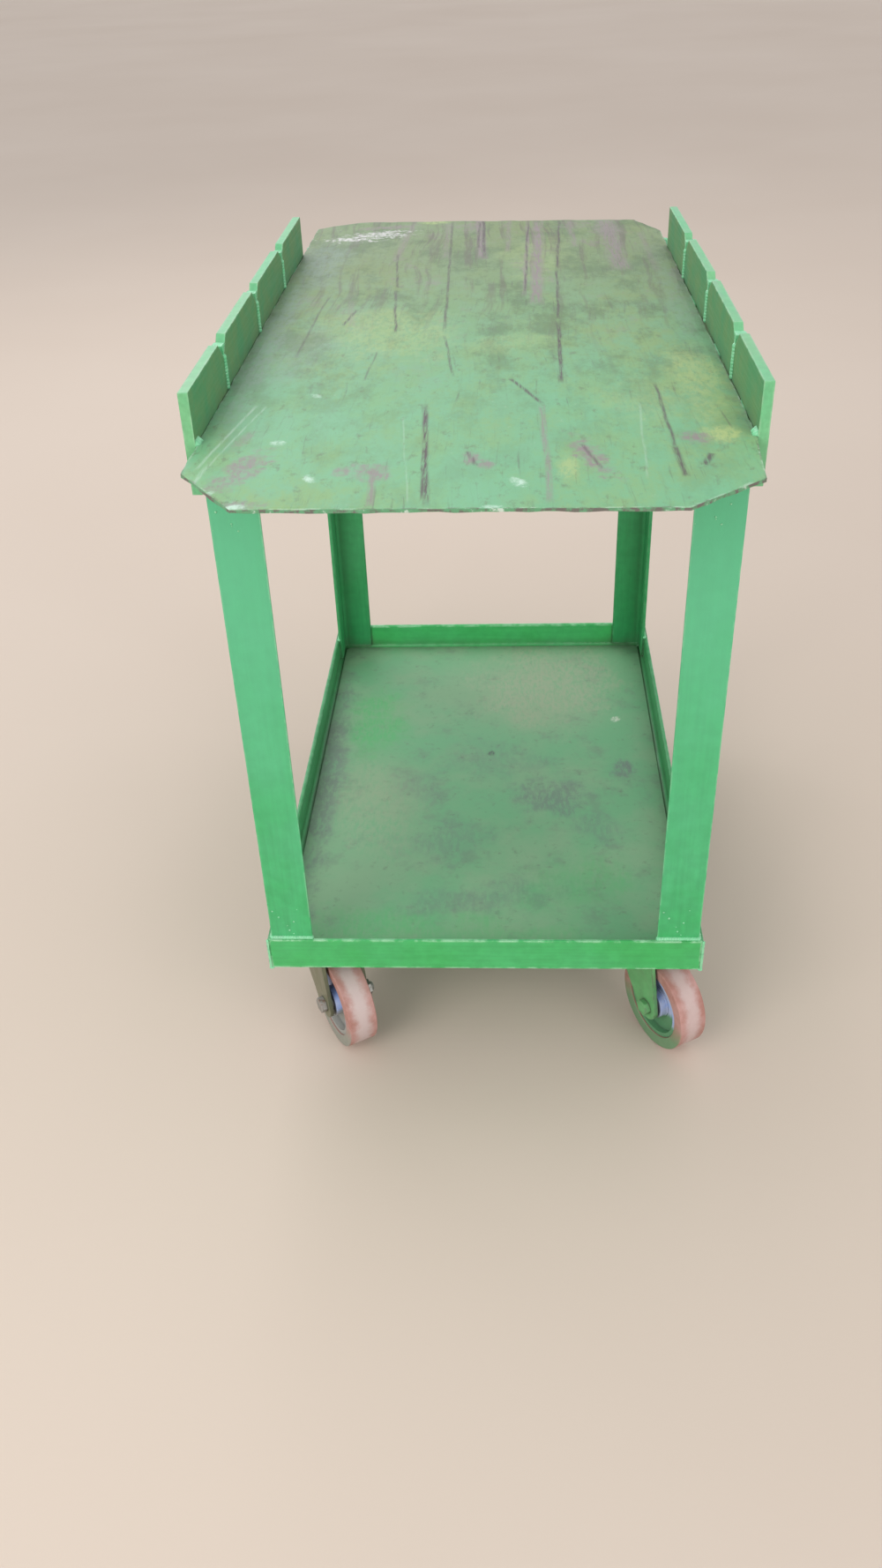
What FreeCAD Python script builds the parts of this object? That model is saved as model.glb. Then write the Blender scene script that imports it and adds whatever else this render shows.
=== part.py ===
import FreeCAD, Part
import math
import os

# Rolling utility cart: a torch-cut steel top plate between two upright side bars, four angle legs that
# stand in an angle-iron shelf tray, and four casters under the tray's corners.
# Millimetres. +Z is up, the front faces -Y, and the origin is on the floor under the cart's middle.

V = FreeCAD.Vector
Z_AXIS = V(0, 0, 1)

# Driving dimensions
plate_length = 1117.0           # top plate, front to rear
plate_width = 516.0             # top plate, and the legs' outer faces
plate_thickness = 4.5
plate_top = 828.0               # height of the top plate's upper face
front_overhang = 168.0          # plate edge to the front legs' faces
rear_overhang = 153.0
front_left_cut = (58.0, 90.0)   # each corner is cut at its own slant: across the plate, and along it
front_right_cut = (70.0, 59.5)
rear_left_cut = (62.0, 38.5)
rear_right_cut = (34.0, 78.0)
front_edge_skew = 8.0           # the front edge is a little out of square: its left end is this much short
rear_edge_skew = 30.0           # the rear edge is more so: its right end is this much short
front_right_trim = 8.0          # the right side runs in this much from the bar to the front corner

bar_thickness = 10.0
bar_height = 98.0
bar_above_plate = 49.5
bar_front_setback = 158.0       # plate's front edge to the bars' front ends
bar_rear_setback = 912.0        # plate's front edge to the bars' rear ends
bar_joints = (325.0, 530.0, 729.0)   # the butt welds, from the plate's front edge
bar_vee = (21.0, 18.0)          # what is cut off a top corner at a joint: along, and down
right_bar_lean = (0.0, 0.0, 0.5, 3.0, 5.0)   # how far in the right bar stands at its ends and joints

leg_flange = 50.0               # rolled steel angle for the legs and the cross rails
tray_flange = 45.0              # and a smaller one for the tray
angle_thickness = 5.0
angle_root = 6.0                # fillet in the angle's inner corner
angle_toe = 2.5                 # rounding of the flanges' inner edges

tray_bottom = 162.0
shelf_thickness = 2.0
shelf_gap = 6.5                 # round the shelf plate: it clears the fillet in the tray's rails
shelf_corner_cut = 6.0          # its corners are nipped off to clear the legs' fillets

mount_plate_size = (116.0, 132.0, 6.0)
caster_plate_size = (100.0, 115.0, 5.0)
bolt_spacing = (76.0, 90.0)
bolt_radius = 5.0
bolt_head_radius = 8.0
bolt_head_height = 6.4
caster_inset_x = 55.0           # tray's outer side face to the caster's middle
caster_inset_y = 90.0           # tray's outer end face to the caster's middle
swivel_angle = 30.0             # how the two front casters stand, turned from straight ahead
trail = 45.0                    # swivel axis to the front wheels' axles

wheel_radius = 62.5
wheel_width = 38.0
tread_crown = 4.0               # rounding of the tyre's shoulders
rim_radius = 47.0
rim_width = 34.0
web_thickness = 12.0
boss_radius = 19.0
boss_width = 42.0
sleeve_radius = 10.0
axle_radius = 6.0
running_gap = 0.05              # radial, between a shaft and its bore
fork_inside = 46.0
fork_wall = 5.0
fork_top_length = 96.0
fork_foot_radius = 19.0
nut_flats = 19.0
nut_height = 9.0

crown_top = 142.8
crown_thickness = 6.0
crown_radius = 40.0
kingpin_radius = 8.0
kingpin_head_radius = 14.0
kingpin_head_height = 6.0
race_radii = (24.0, 36.0)
race_gap = 0.2                  # between the race and the fork's crown
race_rounding = 3.0
kingpin_gap = 0.3               # between the kingpin's head and the fork's crown
kingpin_rounding = 2.5
plate_corner_radius = 8.0       # the casters' own plates

# What follows from them
plate_front = -plate_length / 2
bar_stations = [plate_front + s for s in (bar_front_setback,) + bar_joints + (bar_rear_setback,)]
plate_bottom = plate_top - plate_thickness
frame_front = plate_front + front_overhang
frame_rear = plate_length / 2 - rear_overhang
half_width = plate_width / 2
tray_half = half_width + angle_thickness
tray_front = frame_front - angle_thickness
tray_rear = frame_rear + angle_thickness
shelf_bottom = tray_bottom + angle_thickness
leg_foot = shelf_bottom + angle_root    # the legs' feet stand just clear of the rails' fillet
caster_top = tray_bottom - mount_plate_size[2]
caster_plate_bottom = caster_top - caster_plate_size[2]
caster_x = tray_half - caster_inset_x
caster_front_y = tray_front + caster_inset_y
caster_rear_y = tray_rear - caster_inset_y
fork_half = fork_inside / 2
leg_turns = {(1, -1): 0, (1, 1): 90, (-1, 1): 180, (-1, -1): 270}


def prism(points, direction):
    """A closed outline of straight edges, pushed along a direction."""
    return Part.Face(Part.makePolygon([V(*p) for p in points + points[:1]])).extrude(V(*direction))


def slab(size, middle):
    """A block of a size whose middle is at a point."""
    corner = [m - s / 2 for m, s in zip(middle, size)]
    return Part.makeBox(*size, V(*corner))


def rod(radius, start, end):
    """A round bar from one point to another."""
    line = V(*end) - V(*start)
    return Part.makeCylinder(radius, line.Length, V(*start), line)


def hexagon(flats, start, end):
    """A hexagon bar along X, for a bolt's head or a nut."""
    corner = flats / math.sqrt(3)
    angles = [math.radians(60 * n) for n in range(6)]
    points = [(start, corner * math.cos(a), corner * math.sin(a)) for a in angles]
    return prism(points, (end - start, 0, 0))


def angle_bar(length, flange):
    """Rolled angle along X from 0, one flange upright on Y = 0 and one lying on Z = 0."""
    t = angle_thickness
    w = flange
    outline = [(0, 0, 0), (0, w, 0), (0, w, t), (0, t, t), (0, t, w), (0, 0, w)]
    bar = prism(outline, (length, 0, 0))

    def edges_at(y, z):
        middle = V(length / 2, y, z)
        return [e for e in bar.Edges if e.CenterOfMass.distanceToPoint(middle) < 0.01]

    bar = bar.makeFillet(angle_root, edges_at(t, t))
    return bar.makeFillet(angle_toe, edges_at(w, t) + edges_at(t, w))


def bar_face(side, station):
    """Where a side bar's inner face is, at its ends and joints; the plate's edge follows it."""
    lean = right_bar_lean[station] if side > 0 else 0
    return side * (half_width - lean)


def top_plate():
    """Flat plate, its corners cut off by hand and its sides trimmed to the bars."""
    rear = plate_length / 2
    last = len(bar_stations) - 1
    right_edge = [(bar_face(1, n), y) for n, y in enumerate(bar_stations)]
    front_right_x = half_width - front_right_trim
    outline = [
        (-half_width, plate_front + front_left_cut[1]),
        (-half_width + front_left_cut[0], plate_front + front_edge_skew),
        (front_right_x - front_right_cut[0], plate_front),
        (front_right_x, plate_front + front_right_cut[1]),
        *right_edge,
        (bar_face(1, last), rear - rear_edge_skew - rear_right_cut[1]),
        (bar_face(1, last) - rear_right_cut[0], rear - rear_edge_skew),
        (-half_width + rear_left_cut[0], rear),
        (-half_width, rear - rear_left_cut[1]),
    ]
    return prism([(x, y, plate_bottom) for x, y in outline], (0, 0, plate_thickness))


def side_bar_piece(side, number):
    """One length of flat bar: its top corners are cut back where it meets the next one."""
    start, end = bar_stations[number:number + 2]
    x_start, x_end = bar_face(side, number), bar_face(side, number + 1)
    top = plate_top + bar_above_plate
    bottom = top - bar_height
    along, down = bar_vee
    outline = [(start, bottom), (end, bottom)]
    if number < len(bar_joints):
        outline += [(end, top - down), (end - along, top)]
    else:
        outline += [(end, top)]
    if number > 0:
        outline += [(start + along, top), (start, top - down)]
    else:
        outline += [(start, top)]
    slope = (x_end - x_start) / (end - start)
    points = [(x_start + slope * (y - start), y, z) for y, z in outline]
    return prism(points, (side * bar_thickness, 0, 0))


def put(shape, x, y, top):
    """Move a shape so that its outer corner in plan, and its top, come to a place."""
    box = shape.BoundBox
    shape.translate(V(
        x - (box.XMin if x < 0 else box.XMax),
        y - (box.YMin if y < 0 else box.YMax),
        top - box.ZMax,
    ))
    return shape


def leg(side, end):
    """Upright angle in a corner of the frame, its flanges on the frame's outside."""
    bar = angle_bar(plate_bottom - leg_foot, leg_flange)
    bar.rotate(V(0, 0, 0), V(0, 1, 0), -90)
    bar.rotate(V(0, 0, 0), Z_AXIS, leg_turns[side, end])
    return put(bar, side * half_width, frame_front if end < 0 else frame_rear, plate_bottom)


def tray_rail(length, distance, turn):
    """Tray edge: upright flange outside, flat flange inward, its ends mitred into the next rails."""
    bar = angle_bar(length, tray_flange)
    wedge = tray_flange + 1
    for x, way in ((0, 1), (length, -1)):
        outline = [(x, 0, -1), (x + way * wedge, wedge, -1), (x - way, wedge, -1), (x - way, 0, -1)]
        bar = bar.cut(prism(outline, (0, 0, wedge + 1)))
    bar.translate(V(-length / 2, -distance, tray_bottom))
    bar.rotate(V(0, 0, 0), Z_AXIS, turn)
    return bar


def cross_rail(end):
    """Angle under the top plate from leg to leg, one flange against the plate."""
    length = plate_width - 2 * (angle_thickness + angle_root)
    bar = angle_bar(length, leg_flange)
    bar.rotate(V(0, 0, 0), V(1, 0, 0), -90 if end < 0 else 180)
    y = frame_front + angle_thickness if end < 0 else frame_rear - angle_thickness
    return put(bar, length / 2, y, plate_bottom)


def shelf_plate():
    """Sheet that lies on the tray's flat flanges."""
    size = (plate_width - 2 * shelf_gap, frame_rear - frame_front - 2 * shelf_gap, shelf_thickness)
    plate = slab(size, (0, (frame_front + frame_rear) / 2, shelf_bottom + shelf_thickness / 2))
    return plate.makeChamfer(shelf_corner_cut, upright_edges(plate))


def upright_edges(shape):
    """The edges of a shape that run straight up."""
    return [e for e in shape.Edges if abs(e.tangentAt(e.FirstParameter).z) > 0.99]


def bolt_places():
    """The four bolts of a caster plate, from the caster's middle."""
    sx, sy = bolt_spacing
    return [(x * sx / 2, y * sy / 2) for x in (-1, 1) for y in (-1, 1)]


def drilled(plate, bottom):
    """A plate with the four bolt holes."""
    for x, y in bolt_places():
        plate = plate.cut(rod(bolt_radius, (x, y, bottom - 1), (x, y, tray_bottom + 1)))
    return plate


def mount_plate():
    """Plate welded under a corner of the tray, tapped for the caster's bolts."""
    plate = slab(mount_plate_size, (0, 0, tray_bottom - mount_plate_size[2] / 2))
    return drilled(plate, caster_top)


def caster_bolts():
    """Four hexagon bolts, screwed up through the caster plate into the mounting plate."""
    bolts = []
    head_bottom = caster_plate_bottom - bolt_head_height
    corners = [V(bolt_head_radius, 0, 0)]
    for _ in range(5):
        corners.append(FreeCAD.Rotation(Z_AXIS, 60).multVec(corners[-1]))
    for x, y in bolt_places():
        head = prism([(x + c.x, y + c.y, head_bottom) for c in corners], (0, 0, bolt_head_height))
        shank = rod(bolt_radius, (x, y, caster_plate_bottom), (x, y, tray_bottom))
        bolts.append(head.fuse(shank).removeSplitter())
    return Part.makeCompound(bolts)


def rounded_plate(size, middle, radius):
    """A plate with rounded corners."""
    plate = slab(size, middle)
    return plate.makeFillet(radius, upright_edges(plate))


def caster_plate():
    """The swivel caster's top plate, with the hole for its kingpin."""
    middle = (0, 0, caster_top - caster_plate_size[2] / 2)
    plate = drilled(rounded_plate(caster_plate_size, middle, plate_corner_radius), caster_plate_bottom)
    return plate.cut(rod(kingpin_radius, (0, 0, caster_plate_bottom - 1), (0, 0, caster_top + 1)))


def swivel_race():
    """Ball race between the caster plate and the fork's crown, rounded outside."""
    inner, outer = race_radii
    bottom = crown_top + race_gap
    ring = rod(outer, (0, 0, bottom), (0, 0, caster_plate_bottom))
    ring = ring.cut(rod(inner, (0, 0, bottom - 1), (0, 0, caster_plate_bottom + 1)))
    rim = [e for e in ring.Edges if e.BoundBox.XLength > 2 * outer - 1 and e.BoundBox.ZMax < bottom + 1]
    return ring.makeFillet(race_rounding, rim)


def kingpin():
    """Pin riveted in the caster plate; its head carries the fork's crown from below."""
    head_top = crown_top - crown_thickness - kingpin_gap
    pin = rod(kingpin_radius, (0, 0, head_top), (0, 0, caster_top))
    head = rod(kingpin_head_radius, (0, 0, head_top - kingpin_head_height), (0, 0, head_top))
    rim = [e for e in head.Edges if e.BoundBox.XLength > 20 and e.BoundBox.ZMax < head_top - 1]
    return pin.fuse(head.makeFillet(kingpin_rounding, rim)).removeSplitter()


def fork_cheek(side, top, axle_y):
    """One side of a fork: wide at the top, tapering to a round foot about the axle."""
    x = fork_half if side > 0 else -fork_half - fork_wall
    half = fork_top_length / 2
    foot = fork_foot_radius
    axle = V(x, axle_y, wheel_radius)
    corners = [V(x, -half, top), V(x, half, top)]
    touch = []
    for corner, way in zip(corners, (-1, 1)):
        gap = corner - axle
        turn = math.acos(foot / gap.Length)
        bearing = math.atan2(gap.z, gap.y) + way * -turn
        touch.append(V(x, axle.y + foot * math.cos(bearing), axle.z + foot * math.sin(bearing)))
    low = V(x, axle_y, wheel_radius - foot)
    edges = [
        Part.LineSegment(corners[0], corners[1]),
        Part.LineSegment(corners[1], touch[1]),
        Part.Arc(touch[1], low, touch[0]),
        Part.LineSegment(touch[0], corners[0]),
    ]
    cheek = Part.Face(Part.Wire([e.toShape() for e in edges])).extrude(V(fork_wall, 0, 0))
    hole = rod(axle_radius, (x - 1, axle_y, wheel_radius), (x + fork_wall + 1, axle_y, wheel_radius))
    return cheek.cut(hole)


def swivel_fork():
    """Pressed fork: a flat crown under the race, and two cheeks that lean back to the axle."""
    bottom = crown_top - crown_thickness
    crown_size = (fork_inside + 2 * fork_wall, fork_top_length, crown_thickness)
    crown = slab(crown_size, (0, 0, crown_top - crown_thickness / 2))
    crown = crown.fuse(rod(crown_radius, (0, 0, bottom), (0, 0, crown_top)))
    fork = crown.fuse([fork_cheek(-1, crown_top, -trail), fork_cheek(1, crown_top, -trail)])
    bore = rod(kingpin_radius + running_gap, (0, 0, bottom - 1), (0, 0, crown_top + 1))
    return fork.cut(bore).removeSplitter()


def fixed_fork():
    """Rigid caster's frame: its cheeks are one with the plate that bolts to the tray."""
    middle = (0, 0, caster_top - caster_plate_size[2] / 2)
    plate = drilled(rounded_plate(caster_plate_size, middle, plate_corner_radius), caster_plate_bottom)
    cheeks = [fork_cheek(side, caster_plate_bottom + 1, 0) for side in (-1, 1)]
    return plate.fuse(cheeks).removeSplitter()


def turned(outline, axle_y):
    """A shape turned about the axle, from an outline of (along the axle, radius)."""
    points = [V(x, axle_y, wheel_radius + r) for x, r in outline]
    face = Part.Face(Part.makePolygon(points + points[:1]))
    return face.revolve(V(0, axle_y, wheel_radius), V(1, 0, 0), 360)


def wheel_hub(axle_y):
    """Cast wheel body: boss, web and rim, bored to run on the sleeve."""
    bore = sleeve_radius + running_gap
    boss = boss_width / 2
    web = web_thickness / 2
    rim = rim_width / 2
    inside = rim_radius - 6
    half = [(boss, bore), (boss, boss_radius - 1), (boss - 1, boss_radius), (web, boss_radius + 2),
            (web, inside - 3), (rim, inside), (rim, rim_radius)]
    other = [(-x, r) for x, r in reversed(half)]
    return turned(half + other, axle_y)


def tyre(axle_y):
    """Cast tread bonded round the rim, crowned, with rounded shoulders."""
    half = wheel_width / 2
    outline = [(-half, rim_radius), (-half, wheel_radius), (half, wheel_radius), (half, rim_radius)]
    band = turned(outline, axle_y)
    across = 2 * wheel_radius
    shoulders = [e for e in band.Edges if e.BoundBox.ZLength > across - 1 and e.BoundBox.XLength < 1]
    return band.makeFillet(tread_crown, shoulders)


def axle_sleeve(axle_y):
    """Spacer tube that the fork clamps and the wheel runs on."""
    start = (-fork_half, axle_y, wheel_radius)
    end = (fork_half, axle_y, wheel_radius)
    return rod(sleeve_radius, start, end).cut(rod(axle_radius, start, end))


def axle_bolt(axle_y):
    """Hexagon bolt through both cheeks and the sleeve."""
    outside = fork_half + fork_wall
    head = hexagon(nut_flats, -outside - nut_height + 1.5, -outside)
    end = outside + nut_height + 4
    shank = rod(axle_radius, (-outside, 0, 0), (end, 0, 0))
    tip = [e for e in shank.Edges if e.BoundBox.XMin > end - 0.01]
    bolt = head.fuse(shank.makeChamfer(1, tip)).removeSplitter()
    bolt.translate(V(0, axle_y, wheel_radius))
    return bolt


def axle_nut(axle_y):
    """Nut on the axle bolt's end."""
    outside = fork_half + fork_wall
    nut = hexagon(nut_flats, outside, outside + nut_height)
    nut = nut.cut(rod(axle_radius, (outside - 1, 0, 0), (outside + nut_height + 1, 0, 0)))
    nut.translate(V(0, axle_y, wheel_radius))
    return nut


def place(shape, x, y, turn=0):
    """Turn a caster's piece about its own upright axis and set it under the tray."""
    shape = shape.copy()
    shape.rotate(V(0, 0, 0), Z_AXIS, turn)
    shape.translate(V(x, y, 0))
    return shape


def wheel_set(name, x, y, axle_y, turn):
    """The wheel and what holds it in its fork."""
    pieces = {
        "wheel_hub": wheel_hub(axle_y),
        "tyre": tyre(axle_y),
        "axle_sleeve": axle_sleeve(axle_y),
        "axle_bolt": axle_bolt(axle_y),
        "axle_nut": axle_nut(axle_y),
    }
    return {f"{name}_{piece}": place(shape, x, y, turn) for piece, shape in pieces.items()}


def front_caster(name, x):
    """Swivel caster, standing turned."""
    nodes = {
        f"{name}_mount_plate": place(mount_plate(), x, caster_front_y),
        f"{name}_caster_bolts": place(caster_bolts(), x, caster_front_y),
        f"{name}_caster_plate": place(caster_plate(), x, caster_front_y),
        f"{name}_swivel_race": place(swivel_race(), x, caster_front_y),
        f"{name}_kingpin": place(kingpin(), x, caster_front_y),
        f"{name}_fork": place(swivel_fork(), x, caster_front_y, swivel_angle),
    }
    return nodes | wheel_set(name, x, caster_front_y, -trail, swivel_angle)


def rear_caster(name, x):
    """Fixed caster, in line with the cart."""
    nodes = {
        f"{name}_mount_plate": place(mount_plate(), x, caster_rear_y),
        f"{name}_caster_bolts": place(caster_bolts(), x, caster_rear_y),
        f"{name}_fork": place(fixed_fork(), x, caster_rear_y),
    }
    return nodes | wheel_set(name, x, caster_rear_y, 0, 0)


def cart():
    """Every node of the cart by name."""
    middle_y = (frame_front + frame_rear) / 2
    long_rail = tray_rear - tray_front
    short_rail = 2 * tray_half
    nodes = {"top_plate": top_plate(), "shelf_plate": shelf_plate()}
    for side, name in ((-1, "left"), (1, "right")):
        for number in range(len(bar_joints) + 1):
            nodes[f"{name}_bar_{number + 1}"] = side_bar_piece(side, number)
        nodes[f"front_{name}_leg"] = leg(side, -1)
        nodes[f"rear_{name}_leg"] = leg(side, 1)
        rail = tray_rail(long_rail, tray_half, 90 * side)
        rail.translate(V(0, middle_y, 0))
        nodes[f"tray_{name}_rail"] = rail
        nodes |= front_caster(f"front_{name}", side * caster_x)
        nodes |= rear_caster(f"rear_{name}", side * caster_x)
    for end, name in ((-1, "front"), (1, "rear")):
        rail = tray_rail(short_rail, long_rail / 2, 0 if end < 0 else 180)
        rail.translate(V(0, middle_y, 0))
        nodes[f"tray_{name}_rail"] = rail
        nodes[f"top_{name}_rail"] = cross_rail(end)
    return nodes


os.makedirs("parts", exist_ok=True)
for node, shape in cart().items():
    shape.exportStep(f"parts/{node}.step")
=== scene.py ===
import math
import random

import bpy
from mathutils import Matrix, Vector


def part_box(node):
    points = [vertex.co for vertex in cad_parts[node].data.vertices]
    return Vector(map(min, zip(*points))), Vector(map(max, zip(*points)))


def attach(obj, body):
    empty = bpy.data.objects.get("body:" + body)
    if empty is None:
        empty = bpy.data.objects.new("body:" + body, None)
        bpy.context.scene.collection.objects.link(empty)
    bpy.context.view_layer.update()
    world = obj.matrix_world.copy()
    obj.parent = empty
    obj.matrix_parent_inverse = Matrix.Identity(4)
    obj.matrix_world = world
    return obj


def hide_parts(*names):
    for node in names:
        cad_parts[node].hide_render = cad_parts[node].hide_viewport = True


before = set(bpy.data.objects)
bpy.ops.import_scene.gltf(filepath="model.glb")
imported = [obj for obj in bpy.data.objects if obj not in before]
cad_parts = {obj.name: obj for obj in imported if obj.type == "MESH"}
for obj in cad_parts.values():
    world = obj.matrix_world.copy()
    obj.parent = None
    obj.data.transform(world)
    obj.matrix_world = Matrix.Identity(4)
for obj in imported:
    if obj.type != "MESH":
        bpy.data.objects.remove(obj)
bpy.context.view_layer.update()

# ---- Camera ----------------------------------------------------------------------------------------
# It stands at the front of the cart, a little to the right of its middle and well above the deck, and
# looks down on it. It is turned and tilted by a few degrees, as a camera held by hand is.
camera_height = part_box("top_plate")[1].z + 0.411
camera_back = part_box("top_plate")[0].y - 0.967
bpy.ops.object.camera_add(location=(0.0337, camera_back, camera_height))
camera = bpy.context.object
camera.name = "camera"
camera.data.sensor_width = 36
camera.data.lens = 28.93
turned_left = math.radians(3.896)
looking_down = math.radians(35.237)
tilted = math.radians(-2.406)
aim = (
    Matrix.Rotation(turned_left, 4, "Z")
    @ Matrix.Rotation(math.pi / 2 - looking_down, 4, "X")
    @ Matrix.Rotation(tilted, 4, "Z")
)
camera.matrix_world = Matrix.Translation(camera.location) @ aim
bpy.context.scene.camera = camera
bpy.context.scene.view_settings.view_transform = "Standard"


# ---- Studio ----------------------------------------------------------------------------------------
# A wide floor of pale plaster that fades into a pale room, a large soft light high behind the cart,
# and two soft fills in front, so that the deck shines a little and nothing falls into black.
def add(tree, kind, feed=None, **settings):
    """Add a shader node; feed gives its inputs, as values or as sockets that link to them."""
    made = tree.nodes.new("ShaderNode" + kind)
    for name, value in settings.items():
        setattr(made, name, value)
    for socket, value in (feed or {}).items():
        if isinstance(value, bpy.types.NodeSocket):
            tree.links.new(value, made.inputs[socket])
        else:
            made.inputs[socket].default_value = value
    return made


def new_material(name):
    """A material with an unlinked Principled shader, and the tree and shader to build it with."""
    material = bpy.data.materials.new(name)
    material.use_nodes = True
    tree = material.node_tree
    return material, tree, tree.nodes["Principled BSDF"]


def blend_colours(tree, share, first, second, mode="MIX"):
    """The colour between two colours."""
    mix = add(tree, "Mix", {0: share, 6: first, 7: second}, data_type="RGBA", blend_type=mode)
    return mix.outputs[2]


def remap(tree, value, low, high, to_low=0.0, to_high=1.0):
    """A value's range, stretched smoothly to another range and cut off at its ends."""
    feed = {0: value, 1: low, 2: high, 3: to_low, 4: to_high}
    return add(tree, "MapRange", feed, interpolation_type="SMOOTHSTEP", clamp=False).outputs[0]


def calculate(tree, operation, first, second=0.0):
    """One sum on two values."""
    return add(tree, "Math", {0: first, 1: second}, operation=operation).outputs[0]


def noise(tree, place, scale, detail=5.0, roughness=0.55):
    """Smooth noise from 0 to 1 over a place."""
    feed = {"Vector": place, "Scale": scale, "Detail": detail, "Roughness": roughness}
    return add(tree, "TexNoise", feed).outputs[0]


def stretched(tree, place, factors):
    """A place with each of its axes scaled, so that a pattern runs along one of them."""
    return add(tree, "VectorMath", {0: place, 1: factors}, operation="MULTIPLY").outputs[0]


bpy.ops.mesh.primitive_plane_add(size=80)
floor = bpy.context.object
floor.name = "floor"
plaster, tree, shader = new_material("pale floor")
place = add(tree, "TexCoord").outputs["Object"]
clouds = noise(tree, place, 0.5, 3.0)
floor_colour = blend_colours(tree, clouds, (0.55, 0.445, 0.36, 1), (0.63, 0.53, 0.445, 1))
tree.links.new(floor_colour, shader.inputs["Base Color"])
shader.inputs["Roughness"].default_value = 0.85
grit = noise(tree, place, 90.0, 3.0)
bump = add(tree, "Bump", {"Strength": 0.1, "Distance": 0.001, "Height": grit})
tree.links.new(bump.outputs[0], shader.inputs["Normal"])
floor.data.materials.append(plaster)

world = bpy.data.worlds.new("pale room")
bpy.context.scene.world = world
world.use_nodes = True
world.node_tree.nodes["Background"].inputs["Color"].default_value = (0.94, 0.96, 1.0, 1)
world.node_tree.nodes["Background"].inputs["Strength"].default_value = 0.92


def soft_light(name, place, target, size, power, colour):
    """A square soft light at a place, turned to a target."""
    bpy.ops.object.light_add(type="AREA", location=place)
    light = bpy.context.object
    light.name = name
    light.data.size = size
    light.data.energy = power
    light.data.color = colour
    light.rotation_euler = (Vector(target) - Vector(place)).to_track_quat("-Z", "Y").to_euler()


soft_light("high back light", (-1.4, 2.6, 3.6), (0, 0.1, 0.7), 3.0, 60, (0.96, 0.98, 1.0))
soft_light("left front fill", (-2.0, -2.8, 2.2), (0, 0, 0.5), 2.2, 54, (1.0, 0.99, 0.97))
soft_light("right front fill", (2.2, -2.6, 1.6), (0, 0, 0.5), 2.0, 30, (1.0, 0.98, 0.96))


# ---- Legs ------------------------------------------------------------------------------------------
# Four lengths of rolled steel angle, cut square, one standing in each corner of the frame with its
# flanges outside. They are brushed with glossy green enamel after welding, thick enough to round the
# steel's corners, with rubbed corners that also carry a painted highlight, and grime and painted shade
# where other pieces meet them. The front legs are painted lighter towards their heads as a sheen, and
# the rear legs take a darker copy of the same enamel as painted shade.
def shader_group(name, inputs, outputs):
    """An empty shader node group with its named sockets."""
    group = bpy.data.node_groups.new(name, "ShaderNodeTree")
    for socket, kind, value in inputs:
        made = group.interface.new_socket(socket, in_out="INPUT", socket_type="NodeSocket" + kind)
        made.default_value = value
    for socket, kind in outputs:
        group.interface.new_socket(socket, in_out="OUTPUT", socket_type="NodeSocket" + kind)
    return group, group.nodes.new("NodeGroupInput").outputs, group.nodes.new("NodeGroupOutput").inputs


def use_group(tree, group, feed):
    """Place a shader node group in a tree, with its own values."""
    made = tree.nodes.new("ShaderNodeGroup")
    made.node_tree = group
    for socket, value in feed.items():
        if isinstance(value, bpy.types.NodeSocket):
            tree.links.new(value, made.inputs[socket])
        else:
            made.inputs[socket].default_value = value
    return made.outputs


# Enamel put on with a brush: it fades in clouds, and the bristles leave fine lines along the stroke.
enamel, given, out = shader_group(
    "brushed enamel",
    [("Fresh", "Color", (0.05, 0.4, 0.12, 1)), ("Faded", "Color", (0.1, 0.45, 0.2, 1)),
     ("Fading", "Float", 0.5), ("Stroke", "Vector", (200, 200, 8))],
    [("Colour", "Color"), ("Roughness", "Float"), ("Height", "Float")],
)
place = add(enamel, "TexCoord").outputs["Object"]
clouds = noise(enamel, place, 6.0, 6.0, 0.6)
bristles = noise(enamel, stretched(enamel, place, given["Stroke"]), 1.0, 3.0)
lumps = noise(enamel, place, 75.0, 3.0)
peel = noise(enamel, place, 260.0, 2.0)
faded = calculate(enamel, "MULTIPLY", remap(enamel, clouds, 0.36, 0.68), given["Fading"])
mottled = blend_colours(enamel, faded, given["Fresh"], given["Faded"])
shade = calculate(
    enamel, "MULTIPLY",
    remap(enamel, bristles, 0.3, 0.7, 0.93, 1.03), remap(enamel, lumps, 0.3, 0.7, 0.93, 1.05),
)
shade_colour = add(enamel, "CombineColor", {0: shade, 1: shade, 2: shade}).outputs[0]
enamel.links.new(blend_colours(enamel, 1.0, mottled, shade_colour, "MULTIPLY"), out["Colour"])
enamel.links.new(remap(enamel, bristles, 0.25, 0.75, 0.30, 0.48), out["Roughness"])
lines = calculate(enamel, "MULTIPLY", bristles, 0.35)
rough = calculate(enamel, "ADD", lumps, calculate(enamel, "MULTIPLY", peel, 0.3))
enamel.links.new(calculate(enamel, "ADD", lines, rough), out["Height"])

# Paint rubbed thin along the corners of the steel, broken up as chips are. On the legs, rails, bars and
# welds its pale colour is also a painted highlight along the edges.
rubbed_and_highlit, given, out = shader_group(
    "rubbed corners and highlights",
    [("Reach", "Float", 0.004), ("Breakup", "Float", 70.0), ("Amount", "Float", 0.8)],
    [("Mask", "Float")],
)
rounded = add(rubbed_and_highlit, "Bevel", {"Radius": given["Reach"]}, samples=4).outputs[0]
true_normal = add(rubbed_and_highlit, "NewGeometry").outputs["Normal"]
turned = add(rubbed_and_highlit, "VectorMath", {0: rounded, 1: true_normal}, operation="DOT_PRODUCT").outputs["Value"]
corner = remap(rubbed_and_highlit, turned, 0.995, 0.93)
place = add(rubbed_and_highlit, "TexCoord").outputs["Object"]
chips = noise(rubbed_and_highlit, place, given["Breakup"])
broken = calculate(rubbed_and_highlit, "MULTIPLY", corner, remap(rubbed_and_highlit, chips, 0.38, 0.6))
rubbed_and_highlit.links.new(calculate(rubbed_and_highlit, "MULTIPLY", broken, given["Amount"]), out["Mask"])
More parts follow.
